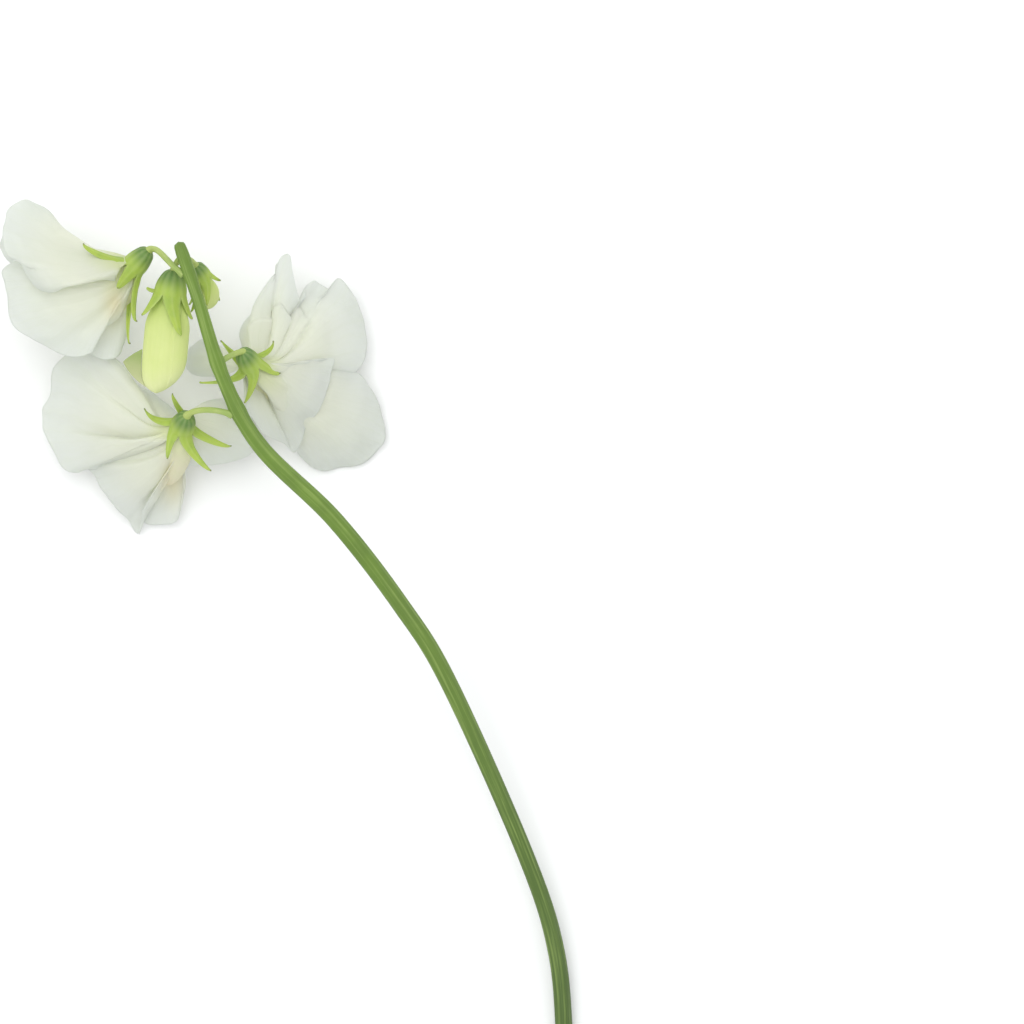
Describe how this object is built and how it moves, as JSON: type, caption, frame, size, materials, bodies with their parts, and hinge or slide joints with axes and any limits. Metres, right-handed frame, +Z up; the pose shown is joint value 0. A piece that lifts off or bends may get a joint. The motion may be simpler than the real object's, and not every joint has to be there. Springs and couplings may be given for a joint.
{
  "type": "sweet pea flower",
  "caption": "Cut sweet pea stem laid on its side: white butterfly-shaped blossoms and pale green buds nodding from the end of a curved green stalk.",
  "frame": {"origin": "on the surface that the flower lies on, under the middle of its box", "axes": "+Y from the cut end of the stem towards the blossoms, +X to the right seen from above, +Z up from the surface"},
  "size_m": [0.1375, 0.2059, 0.0392],
  "materials": {
    "stem_green": "satin mid-green stalk, faintly ribbed lengthways",
    "pedicel_green": "satin light yellow-green flower stalk",
    "calyx_green": "satin yellow-green, bluish and darker at the foot, thin pale edges",
    "petal_white": "thin matt ivory white petal that lets light through, fine fanned veins",
    "keel_cream": "matt cream with a peach tinge, lets light through",
    "bud_yellow_green": "matt pale yellow-green, waxy, greener towards the calyx"
  },
  "bodies": {
    "root": {"stem": "stem_green", "first_pedicel": "pedicel_green", "first_calyx": "calyx_green", "first_standard": "petal_white", "first_wing_left": "petal_white", "first_wing_right": "petal_white", "first_keel": "keel_cream", "second_pedicel": "pedicel_green", "second_calyx": "calyx_green", "second_standard": "petal_white", "second_wing_left": "petal_white", "second_wing_right": "petal_white", "second_keel": "keel_cream", "third_pedicel": "pedicel_green", "third_calyx": "calyx_green", "third_standard": "petal_white", "third_wing_left": "petal_white", "third_wing_right": "petal_white", "third_keel": "keel_cream", "large_bud_pedicel": "pedicel_green", "large_bud_calyx": "calyx_green", "large_bud_standard": "bud_yellow_green", "small_bud_pedicel": "pedicel_green", "small_bud_calyx": "calyx_green", "small_bud_standard": "bud_yellow_green", "large_bud_wing": "keel_cream"}
  },
  "joints": []
}
